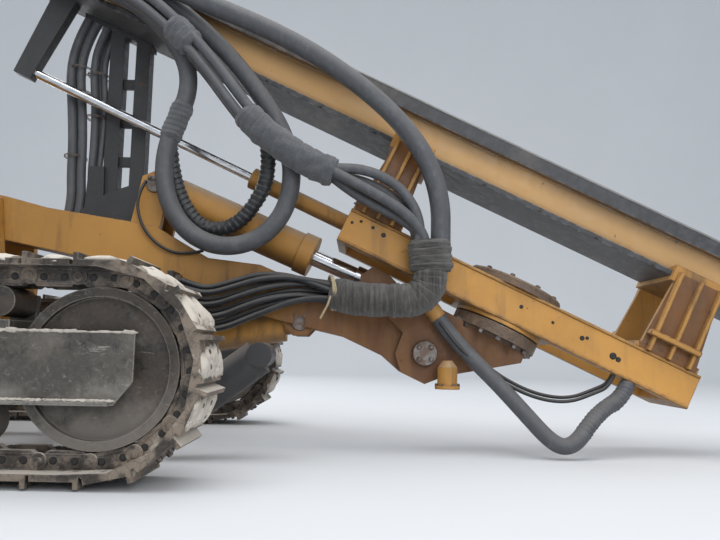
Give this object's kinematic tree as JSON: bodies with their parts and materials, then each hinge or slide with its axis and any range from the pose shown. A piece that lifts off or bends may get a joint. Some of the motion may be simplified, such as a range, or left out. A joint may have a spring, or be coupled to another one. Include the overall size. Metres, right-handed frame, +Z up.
{
  "type": "down-the-hole drilling rig",
  "caption": "Crawler drilling rig with a gooseneck boom that swings and lifts, and a long sliding mast parked at a slope on a slotted post.",
  "frame": {"origin": "ground level under the middle of the rig's length and width", "axes": "+X forward to the mast's foot, +Y to the rig's left, +Z up"},
  "size_m": [5.8728, 2.25, 2.8845],
  "materials": {
    "yellow_paint": "worn satin",
    "dark_paint": "worn matt",
    "grey_paint": "satin",
    "track_steel": "muddy",
    "worn_steel": "worn",
    "chrome_rod": "polished",
    "hose_rubber": "matt"
  },
  "bodies": {
    "chassis": {"track_chain_right": "track_steel", "idler_right": "worn_steel", "sprocket_right": "worn_steel", "rollers_right": "worn_steel", "track_frame_right": "yellow_paint", "track_chain_left": "track_steel", "idler_left": "worn_steel", "sprocket_left": "worn_steel", "rollers_left": "worn_steel", "track_frame_left": "yellow_paint", "centre_frame": "yellow_paint", "swing_cylinder_seat": "yellow_paint", "deck": "dark_paint", "engine": "grey_paint", "hood_front": "yellow_paint", "hood_rear": "yellow_paint", "hood_roof": "yellow_paint", "hood_sill_right": "yellow_paint", "hood_sill_left": "yellow_paint", "exhaust": "grey_paint", "fuel_tank": "yellow_paint", "oil_tank": "yellow_paint", "console": "yellow_paint", "support_leg": "dark_paint"},
    "swing_post": {"swing_bracket": "yellow_paint"},
    "boom": {"boom": "yellow_paint", "mast_rest": "dark_paint", "hose_plate_boom": "hose_rubber", "boom_hoses": "hose_rubber", "rest_hoses": "hose_rubber"},
    "lift_barrel": {"lift_barrel": "dark_paint"},
    "lift_rod": {"lift_rod": "chrome_rod"},
    "pitch_barrel": {"pitch_barrel": "yellow_paint"},
    "pitch_rod": {"pitch_rod": "chrome_rod"},
    "swing_barrel": {"swing_barrel": "yellow_paint"},
    "swing_rod": {"swing_rod": "chrome_rod"},
    "tilt_head": {"tilt_head": "yellow_paint", "hose_clamp_tilt": "hose_rubber", "sleeve_hoses": "hose_rubber", "lower_hose": "hose_rubber"},
    "slide_frame": {"slide_frame": "yellow_paint", "guide_bracket_rear": "yellow_paint", "guide_bracket_front": "yellow_paint", "slide_barrel": "yellow_paint", "hose_clamp_frame": "hose_rubber", "mast_hoses": "hose_rubber", "air_hose": "hose_rubber"},
    "mast": {"mast": "yellow_paint", "mast_table": "yellow_paint", "mast_foot_plate": "worn_steel", "feed_chain": "track_steel", "feed_motor": "grey_paint", "slide_rod": "chrome_rod", "hose_plate_mast": "hose_rubber", "loop_hose": "hose_rubber"},
    "carriage": {"carriage": "yellow_paint", "rotary_motors": "grey_paint"},
    "spindle": {"spindle": "worn_steel"},
    "door_right": {"hood_door_right": "yellow_paint"},
    "door_left": {"hood_door_left": "yellow_paint"}
  },
  "joints": [
    {"name": "boom_swing", "type": "hinge", "parent": "chassis", "child": "swing_post", "pos_m": [-1.2564, 0, 0.675], "axis": [0, 0, 1], "range_deg": [-22, 22]},
    {"name": "boom_lift", "type": "hinge", "parent": "swing_post", "child": "boom", "pos_m": [-1.1064, 0, 1.04], "axis": [0, -1, 0], "range_deg": [0, 45]},
    {"name": "mast_pitch", "type": "hinge", "parent": "boom", "child": "tilt_head", "pos_m": [0.9536, 0, 0.43], "axis": [0, 1, 0], "range_deg": [0, 110], "deforming": ["boom_hoses"]},
    {"name": "mast_swing", "type": "hinge", "parent": "tilt_head", "child": "slide_frame", "pos_m": [1.3106, 0, 0.575], "axis": [0.4226, 0, 0.9063], "range_deg": [0, 45], "deforming": ["sleeve_hoses", "lower_hose"]},
    {"name": "mast_slide", "type": "slide", "parent": "slide_frame", "child": "mast", "axis": [0.9063, 0, -0.4226], "range_m": [0, 1], "deforming": ["mast_hoses", "air_hose", "loop_hose"]},
    {"name": "carriage_feed", "type": "slide", "parent": "mast", "child": "carriage", "axis": [0.9063, 0, -0.4226], "range_m": [0, 3]},
    {"name": "spindle_turn", "type": "hinge", "parent": "carriage", "child": "spindle", "pos_m": [-0.49454, 0, 2.48923], "axis": [0.9063, 0, -0.4226], "continuous": true},
    {"name": "hood_door_right", "type": "hinge", "parent": "chassis", "child": "door_right", "pos_m": [-2.3264, -0.61, 1.52], "axis": [-1, 0, 0], "range_deg": [0, 80]},
    {"name": "hood_door_left", "type": "hinge", "parent": "chassis", "child": "door_left", "pos_m": [-2.3264, 0.61, 1.52], "axis": [1, 0, 0], "range_deg": [0, 80]},
    {"name": "lift_barrel_turn", "type": "hinge", "parent": "boom", "child": "lift_barrel", "pos_m": [0.3836, 0, 0.56], "axis": [0, -1, 0], "range_deg": [-7.84, 1]},
    {"name": "lift_rod_slide", "type": "slide", "parent": "lift_barrel", "child": "lift_rod", "axis": [-0.9875, 0, -0.1576], "range_m": [-0.004, 0.5096]},
    {"name": "pitch_barrel_turn", "type": "hinge", "parent": "boom", "child": "pitch_barrel", "pos_m": [-0.3064, 0, 1.185], "axis": [0, -1, 0], "range_deg": [-1, 2.38]},
    {"name": "pitch_rod_slide", "type": "slide", "parent": "pitch_barrel", "child": "pitch_rod", "axis": [0.921, 0, -0.3895], "range_m": [-0.004, 0.6498]},
    {"name": "swing_barrel_turn", "type": "hinge", "parent": "chassis", "child": "swing_barrel", "pos_m": [-2.1264, 0.42, 0.722], "axis": [0, 0, 1], "range_deg": [-2.28, 2.28]},
    {"name": "swing_rod_slide", "type": "slide", "parent": "swing_barrel", "child": "swing_rod", "axis": [0.9835, -0.1809, 0], "range_m": [-0.0994, 0.0994]}
  ],
  "couplings": [
    {"joint": "lift_barrel_turn", "follows": "boom_lift", "ratio": -0.15202},
    {"joint": "lift_rod_slide", "follows": "boom_lift", "m_per_rad": 0.6437},
    {"joint": "pitch_barrel_turn", "follows": "mast_pitch", "ratio": 0.012558},
    {"joint": "pitch_rod_slide", "follows": "mast_pitch", "m_per_rad": 0.33638},
    {"joint": "swing_barrel_turn", "follows": "boom_swing", "ratio": -0.058193},
    {"joint": "swing_rod_slide", "follows": "boom_swing", "m_per_rad": -0.2484}
  ]
}
